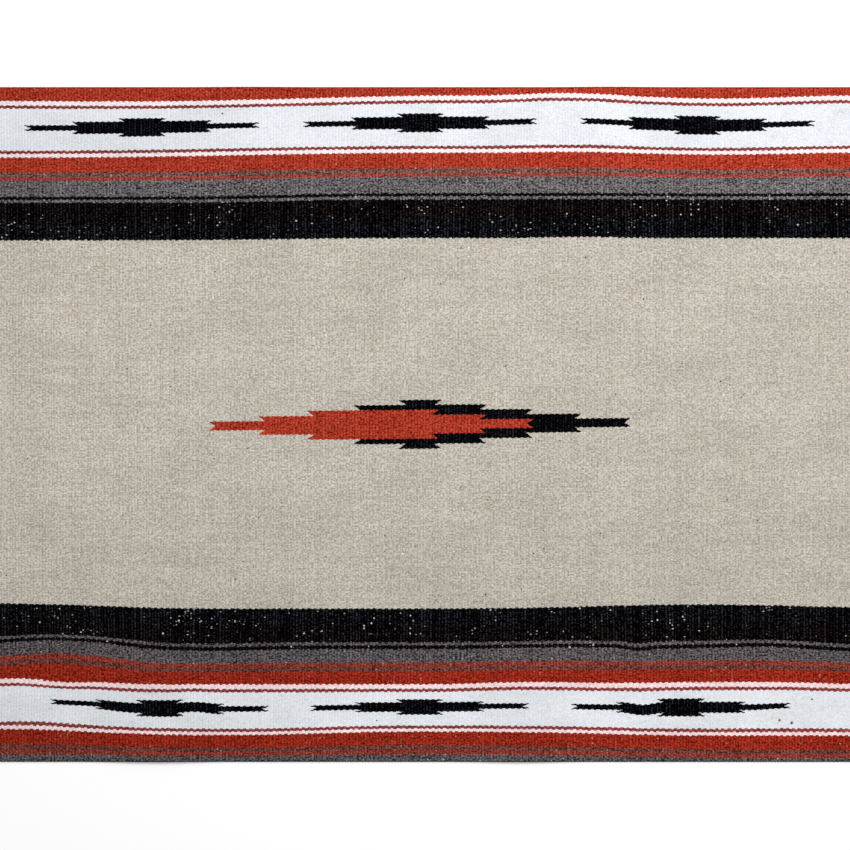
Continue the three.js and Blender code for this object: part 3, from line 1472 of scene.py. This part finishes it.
@dataclass
class KnottedFringe:
    """The fringe of one end: the warp yarns leave the web in bundles, each tied in a knot and let fall.

    Args:
        side: which end.
        loom: the count of the cloth.
        web_end: the distance from the middle to the web's end.
        half_width: half the web's width at that end.
        knot_row: the distances from the middle to the near and far side of the row of knots.
        reach: the length of the loose yarns past the knots.
        bundles: how many knots there are.
        plied: how many warp yarns make a cord.
        yarn_radius: a cord's radius.
        sides: how many points go round a cord.
        steps: how many points go along it.
        knot_steps: how many of those are before the middle of its knot.
        tucked: how far inside the web a cord begins.
        web_height: its height there.
        core: the radius of a bundle inside its knot.
        core_height: the height of the bundle's middle inside its knot.
        slot: the distance between neighbouring cords of a loose bundle.
        layer: how much higher than the others the cords lie that rest on them.
        knot_turns: how many times a knot's strand winds round its bundle.
        knot_radius: the strand's own radius.
        knot_height: the height of a knot's middle.
        knot_flatness: a knot's height as a share of its width.
    """

    side: Side
    loom: Loom
    web_end: float
    half_width: float
    knot_row: tuple[float, float]
    reach: float
    bundles: int = 75
    plied: int = 2
    yarn_radius: float = 0.0008
    sides: int = 6
    steps: int = 24
    knot_steps: int = 6
    tucked: float = 0.0012
    web_height: float = 0.0013
    core: float = 0.0015
    core_height: float = 0.0037
    slot: float = 0.00175
    layer: float = 0.0011
    knot_turns: float = 1.6
    knot_radius: float = 0.00175
    knot_height: float = 0.0039
    knot_flatness: float = 0.72

    @property
    def knot_middle(self) -> float:
        """The distance from the middle of the web to the middle of the row of knots."""
        return (self.knot_row[0] + self.knot_row[1]) / 2

    def yarn_numbers(self) -> Array:
        """The first of each cord's neighbouring yarns, one row for each bundle."""
        return np.arange(0, self.loom.yarns, self.plied).reshape(self.bundles, -1)

    def bundle_centres(self) -> Array:
        """Each bundle's place across the web: evenly spaced over its width."""
        return ((np.arange(self.bundles) + 0.5) / self.bundles * 2 - 1) * self.half_width

    def paths(self) -> tuple[Array, Array, Array]:
        """The centre lines of all cords, each from the web to its knot and from there to its tip.

        Inside a knot the cords stand in a ring. Past it each takes a random place in a loose row, and every
        third one rests on its neighbours. Two waves that grow towards the tip make each cord sway.

        Returns:
            The points of each cord, its radius at each point, and its yarn number.
        """
        ring_share = 0.62
        tightest, loosest = 0.8, 1.05
        shortest, longest = 0.86, 0.995
        bundle_lean, cord_lean = 0.0022, 0.0011
        slow_sway, slow_waves = 0.0014, 1.3
        quick_sway, quick_waves = 0.0006, 3.1
        random = np.random.default_rng(SEED + self.side.value)
        numbers = self.yarn_numbers()
        bundles, each = numbers.shape
        by_bundle, by_cord = (bundles, 1), (bundles, each)
        centre = self.bundle_centres()[:, None]
        start = (numbers + self.plied / 2) / self.loom.yarns * 2 * self.half_width - self.half_width
        place = (np.arange(each) + 0.5) / each * 2 * np.pi
        ring = self.core * ring_share
        core_y = centre + ring * np.cos(place)
        core_z = (self.core_height + ring * np.sin(place))[:, None]
        order = random.permuted(np.tile(np.arange(each), by_bundle), axis=1)
        slots = (order - (each - 1) / 2) * self.slot * random.uniform(tightest, loosest, by_bundle)
        lengths = self.reach * random.uniform(shortest, longest, by_cord)
        lean = random.normal(0, bundle_lean, by_bundle) + random.normal(0, cord_lean, by_cord)
        phases = random.uniform(0, 2 * np.pi, (2, *by_cord, 1))
        swing = random.uniform(0.4, 1.0, (*by_cord, 1))
        layers = (order % 3 == 1) * self.layer

        start, core_y, loose_y, lengths, lean, rise = (
            part[..., None] for part in (start, core_y, centre + slots, lengths, lean, layers)
        )
        tied = self._into_knot(start, core_y, core_z)
        t = np.linspace(0, 1, self.steps - self.knot_steps)
        slow = slow_sway * swing * t * np.sin(2 * np.pi * t * slow_waves + phases[0])
        quick = quick_sway * t * np.sin(2 * np.pi * t * quick_waves + phases[1])
        sway = lean * t**1.5 + (slow + quick)
        loose = self._past_knot(t, core_y, core_z, loose_y, lengths, rise, sway)
        points = np.concatenate([tied, loose], axis=2).reshape(-1, self.steps, 3)
        points[..., 0] *= self.side.value
        radius = np.full(points.shape[:2], self.yarn_radius)
        radius[:, -2:] *= (0.9, 0.45)
        return points, radius, numbers.ravel()

    def _into_knot(self, start: Array, core_y: Array, core_z: Array) -> Array:
        """The cords from the web to the middle of their knots, with their share of the way eased.

        Args:
            start: each cord's place across the web's end.
            core_y: its place across the web inside its knot.
            core_z: its height there.

        Returns:
            The points, by bundle, cord and step.
        """
        s = np.linspace(0, 1, self.knot_steps, endpoint=False)
        eased = smooth(s)
        x = self.web_end - self.tucked + (self.knot_middle - self.web_end + self.tucked) * s
        y = start * (1 - eased) + core_y * eased
        z = self.web_height * (1 - eased) + core_z * eased
        return np.stack(np.broadcast_arrays(x, y, z), axis=-1)

    def _past_knot(
        self, t: Array, core_y: Array, core_z: Array, loose_y: Array, lengths: Array, rise: Array, sway: Array
    ) -> Array:
        """The cords from their knots to their tips: each spreads to its loose place, sinks and sways.

        Args:
            t: the share of the way at each step.
            core_y: each cord's place across the web inside its knot.
            core_z: its height there.
            loose_y: its place across the web where it lies loose.
            lengths: its length past the knot.
            rise: how much higher than the floor it lies, halved at its tip.
            sway: how far it strays across the web at each step.

        Returns:
            The points, by bundle, cord and step.
        """
        spread_by, clear_by = 0.22, 1 / 8
        spread = smooth(np.minimum(t / spread_by, 1))
        half_knot = self.knot_row[1] - self.knot_middle
        x = self.knot_middle + half_knot * np.minimum(t / clear_by, 1) + lengths * t
        y = core_y * (1 - spread) + loose_y * spread + sway
        z = core_z * (1 - spread) + (self.yarn_radius + rise * (1 - 0.5 * t)) * spread
        return np.stack(np.broadcast_arrays(x, y, z), axis=-1)

    def tubes(self, points: Array, radius: Array, numbers: Array, sides: int, name: str) -> bpy.types.Object:
        """Carries a ring along every path: centre + r (cos a across + sin a up), square to the path.

        Args:
            points: the paths, by tube and step.
            radius: the radius at each step.
            numbers: each tube's yarn number.
            sides: the ring's number of points.
            name: the piece's name.

        Returns:
            All the tubes as one piece.
        """
        tubes, steps = points.shape[:2]
        tangent = np.gradient(points, axis=1)
        tangent /= np.linalg.norm(tangent, axis=-1, keepdims=True)
        across = np.cross(np.array([0.0, 0.0, 1.0]), tangent)
        across /= np.linalg.norm(across, axis=-1, keepdims=True)
        up = np.cross(tangent, across)
        angle = np.arange(sides) / sides * 2 * np.pi
        ring = np.cos(angle)[:, None] * across[:, :, None] + np.sin(angle)[:, None] * up[:, :, None]
        rings = points[:, :, None] + radius[:, :, None, None] * ring
        run = np.cumsum(np.linalg.norm(np.diff(points, axis=1, prepend=points[:, :1]), axis=-1), axis=1)
        run, number = run[:, :, None], numbers[:, None, None]
        shape = (tubes, steps, sides)

        def vertex_map(first: Array, second: Array) -> Array:
            """Two values for each vertex."""
            pair = (np.broadcast_to(first, shape), np.broadcast_to(second, shape))
            return np.stack(pair, axis=-1).reshape(-1, 2)

        shell = Shell(
            points=rings.reshape(-1, 3),
            weave=vertex_map(run / self.loom.rib_pitch + 0.37 * number, number + 0.5),
            ply=vertex_map(run, np.arange(sides) / sides),
        )
        ids = np.arange(tubes * steps * sides).reshape(shape)
        around = np.concatenate([ids, ids[:, :, :1]], axis=2)
        here, next_step = around[:, :-1], around[:, 1:]
        quads = np.stack([here[..., :-1], next_step[..., :-1], next_step[..., 1:], here[..., 1:]], axis=-1)
        shell.add(quads.reshape(-1, 4), self._tube_places(tubes, steps, sides))
        caps = np.concatenate([ids[:, 0], ids[:, -1, ::-1]])
        shell.add(caps, self._cap_places(tubes, sides))
        return shell.build(name)

    @staticmethod
    def _cells(tubes: int) -> tuple[Array, Array, int, int]:
        """Shares the bake map out among the tubes.

        Args:
            tubes: how many there are.

        Returns:
            The column and row of each tube's strip, and how many columns and rows there are.
        """
        columns = 4
        rows = math.ceil(tubes / columns)
        number = np.arange(tubes)
        return number % columns, number // columns, columns, rows

    def _tube_places(self, tubes: int, steps: int, sides: int) -> Array:
        """Each quad's place on the bake map: along the strip by its step, up it by its side.

        Args:
            tubes: how many tubes there are.
            steps: how many points go along each.
            sides: how many points go round each.

        Returns:
            The places, in the order of the quads.
        """
        column, row, columns, rows = self._cells(tubes)
        step, side = np.meshgrid(np.arange(steps - 1), np.arange(sides), indexing="ij")
        u0, u1 = step / steps, (step + 1) / steps
        v0, v1 = side / sides, (side + 1) / sides
        u = np.stack([u0, u1, u1, u0], axis=-1)
        v = np.stack([v0, v0, v1, v1], axis=-1)
        u = (column[:, None, None, None] + 0.97 * u) / columns
        v = (row[:, None, None, None] + 0.9 * v) / rows
        return np.stack([u, v], axis=-1)

    def _cap_places(self, tubes: int, sides: int) -> Array:
        """Each cap's place on the bake map: a small ring past the end of its tube's strip.

        Args:
            tubes: how many tubes there are.
            sides: how many points go round each.

        Returns:
            The places of the first caps, then of the last ones.
        """
        column, row, columns, rows = self._cells(tubes)
        angle = np.arange(sides) / sides * 2 * np.pi
        found = []
        for v_centre in (0.25, 0.7):
            u = (column[:, None] + 0.985 + 0.01 * np.cos(angle)) / columns
            v = (row[:, None] + v_centre + 0.2 * np.sin(angle)) / rows
            found.append(np.stack([u, v], axis=-1))
        return np.concatenate(found)

    def build_yarns(self) -> bpy.types.Object:
        """Makes the loose yarns."""
        points, radius, numbers = self.paths()
        return self.tubes(points, radius, numbers, self.sides, f"fringe_yarns_{self.side.name.lower()}")

    def build_knots(self) -> bpy.types.Object:
        """Makes the knots: each bundle's own strand wound more than once round its core.

        The path is a helix about the bundle: across = r cos a, up = flatness r sin a, with its winding radius
        and its own thickness eased to less inside the core at both ends.

        Returns:
            The knots as one piece.
        """
        random = np.random.default_rng(SEED + 10 * self.side.value)
        steps, sides = 40, 12
        eased_share, row_share = 0.16, 0.46
        smallest, largest = 0.92, 1.06
        turned_back = 0.2
        centres = self.bundle_centres()
        t = np.linspace(0, 1, steps)
        tuck = smooth(np.clip(np.minimum(t, 1 - t) / eased_share, 0, 1))
        phase = random.uniform(0, 2 * np.pi, (self.bundles, 1))
        size = random.uniform(smallest, largest, (self.bundles, 1))
        turned = random.choice([-1.0, 1.0], (self.bundles, 1), p=[turned_back, 1 - turned_back])
        angle = phase + turned * 2 * np.pi * self.knot_turns * t
        winding = self.core * (0.5 + 1.25 * tuck) * size
        reach = (self.knot_row[1] - self.knot_row[0]) * row_share
        x = self.knot_middle + reach * (t - 0.5) * size
        y = centres[:, None] + winding * np.cos(angle)
        z = self.knot_height + self.knot_flatness * winding * np.sin(angle)
        points = np.stack([x, y, z], axis=-1)
        points[..., 0] *= self.side.value
        radius = self.knot_radius * (0.35 + 0.65 * tuck) * size
        numbers = self.yarn_numbers()
        middle = numbers[:, numbers.shape[1] // 2]
        return self.tubes(points, radius, middle, sides, f"fringe_knots_{self.side.name.lower()}")


# ---------------------------------------------------------------- the studio


@dataclass(frozen=True)
class Studio:
    """A pale floor, soft light and a camera looking straight down on the middle of the cloth.

    Args:
        view_width: the width of floor that the camera sees.
        view_x: the middle of the view along X.
        view_y: the middle of the view along Y.
        lens_mm: the camera's focal length.
        sensor_mm: the width of its sensor.
        floor_half: half the floor's width.
        lamp_place: where the soft light hangs.
        lamp_size: how wide it is.
        lamp_watts: its power.
        air_light: the strength of the even light.
    """

    view_width: float = 1.19
    view_x: float = 0.007
    view_y: float = -0.0007
    lens_mm: float = 85.0
    sensor_mm: float = 36.0
    floor_half: float = 7.0
    lamp_place: tuple[float, float, float] = (0.7, 1.6, 2.6)
    lamp_size: float = 1.8
    lamp_watts: float = 59.0
    air_light: float = 0.67

    def camera(self, top: float) -> None:
        """Sets the camera, as high above the cloth's face as its lens needs for the view's width.

        Args:
            top: the height of the cloth's face.
        """
        lens = bpy.data.cameras.new("studio_camera")
        lens.lens = self.lens_mm
        lens.sensor_width = self.sensor_mm
        lens.clip_end = 60
        camera = in_scene("studio_camera", lens)
        height = self.view_width * self.lens_mm / self.sensor_mm
        camera.location = (self.view_x, self.view_y, top + height)
        bpy.context.scene.camera = camera

    def floor(self) -> bpy.types.Object:
        """Lays the floor and marks it as the stage.

        Returns:
            The floor.
        """
        half = self.floor_half
        mesh = bpy.data.meshes.new("studio_floor")
        corner_points = [(-half, -half, 0), (half, -half, 0), (half, half, 0), (-half, half, 0)]
        mesh.from_pydata(corner_points, [], [(0, 1, 2, 3)])
        floor = in_scene("studio_floor", mesh)
        material, bench = new_material("studio_paper")
        paper = linear((254, 254, 254))
        bench.surface({"Base Color": paper, "Roughness": 0.9, "Specular IOR Level": 0.1})
        mesh.materials.append(material)
        floor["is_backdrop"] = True
        return floor

    def lights(self) -> None:
        """Hangs a broad soft light high on the far right and fills the room with even light."""
        lamp = bpy.data.lights.new("soft_box", "AREA")
        lamp.shape = "DISK"
        lamp.size = self.lamp_size
        lamp.energy = self.lamp_watts
        box = in_scene("soft_box", lamp)
        box.location = self.lamp_place
        box.rotation_euler = (-box.location).to_track_quat("-Z", "Y").to_euler()
        world = bpy.data.worlds.new("studio_air")
        bpy.context.scene.world = world
        world.use_nodes = True
        sky = world.node_tree.nodes["Background"]
        sky.inputs["Color"].default_value = (1.0, 1.0, 1.0, 1.0)
        sky.inputs["Strength"].default_value = self.air_light

    def exposure(self) -> None:
        """Shows colours as they are, with no film curve."""
        settings = bpy.context.scene.view_settings
        settings.view_transform = "Standard"
        settings.look = "None"


# ---------------------------------------------------------------- putting it together


def corners(box: tuple) -> list[list[float]]:
    """The two corners of a box as plain lists."""
    return [list(corner) for corner in box]


def adopt(piece: bpy.types.Object, material: bpy.types.Material, slot: str, *nodes: str) -> bpy.types.Object:
    """Dresses a piece and fixes it in the frame.

    Args:
        piece: the new piece.
        material: its material.
        slot: the record's material slot; not used.
        nodes: the solids it stands for.

    Returns:
        The piece.
    """
    piece.data.materials.append(material)
    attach(piece, "root")
    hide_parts(*nodes)
    LOG.info("%s: %d faces, stands for %s", piece.name, len(piece.data.polygons), ", ".join(nodes))
    return piece


def main() -> None:
    """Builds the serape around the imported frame."""
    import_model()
    solid_box = corners(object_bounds())
    studio = Studio()
    web_low, web_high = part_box("woven_web")
    loom = Loom(length=web_high.x - web_low.x, width=web_high.y - web_low.y)
    web_maker = SerapeWeb(loom)
    studio.camera(web_maker.thickness)
    floor = studio.floor()
    studio.lights()
    studio.exposure()

    shop = WoolShop(loom)
    yarn_material = shop.yarn()
    web = adopt(web_maker.build(), shop.cloth(), "wool_web", "woven_web")
    for side in Side:
        name = side.name.lower()
        knot_low, knot_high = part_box(f"knot_row_{name}")
        fringe_low, fringe_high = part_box(f"fringe_{name}")
        knot_row = tuple(sorted((abs(knot_low.x), abs(knot_high.x))))
        tips = max(abs(fringe_low.x), abs(fringe_high.x))
        fringe = KnottedFringe(
            side=side,
            loom=loom,
            web_end=web_high.x,
            half_width=knot_high.y,
            knot_row=knot_row,
            reach=tips - knot_row[1],
        )
        adopt(fringe.build_knots(), yarn_material, "fringe_yarn", f"knot_row_{name}")
        adopt(fringe.build_yarns(), yarn_material, "fringe_yarn", f"fringe_{name}")
    json.dumps({"solid": solid_box, "visual": corners(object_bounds())})


if __name__ == "__main__":
    logging.basicConfig(level=logging.INFO, format="%(message)s")
    main()
